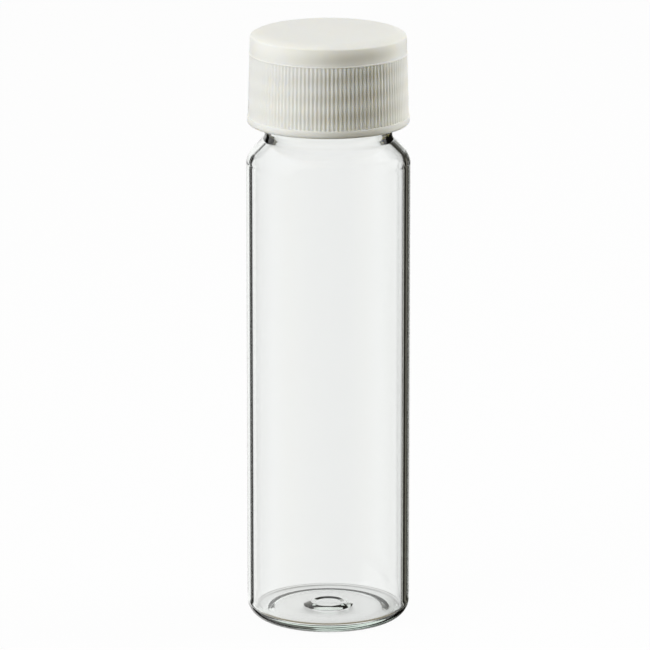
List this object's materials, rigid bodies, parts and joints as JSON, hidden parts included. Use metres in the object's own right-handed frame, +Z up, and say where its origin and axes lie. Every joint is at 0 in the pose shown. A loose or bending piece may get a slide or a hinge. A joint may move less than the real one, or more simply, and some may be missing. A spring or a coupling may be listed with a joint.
{
  "type": "glass sample vial",
  "caption": "Clear screw-neck glass sample vial, standing on a ring round its pushed-up base, closed by a ribbed white cap with a disc liner.",
  "frame": {"origin": "on the vial's axis, in the plane that it stands on", "axes": "+Z up along the axis, from the base towards the cap; the vial is round, so +X and +Y are any two level directions"},
  "size_m": [0.0274, 0.0274, 0.101],
  "materials": {
    "clear_glass": "clear, fire-polished borosilicate glass",
    "liner_foam": "smooth foamed polyethylene sheet",
    "cap_plastic": "moulded natural-white polypropylene, satin, slightly translucent"
  },
  "bodies": {
    "vial": {"glass_vial": "clear_glass"},
    "liner": {"cap_liner": "liner_foam"},
    "cap": {"screw_cap": "cap_plastic"}
  },
  "joints": [
    {"name": "cap_lift", "type": "slide", "parent": "vial", "child": "liner", "axis": [0, 0, 1], "range_m": [0, 0.0159]},
    {"name": "cap_turn", "type": "hinge", "parent": "liner", "child": "cap", "pos_m": [0, 0, 0.0997], "axis": [0, 0, 1], "range_deg": [0, 1800]}
  ],
  "couplings": [
    {"joint": "cap_lift", "follows": "cap_turn", "m_per_rad": 0.00050532}
  ]
}
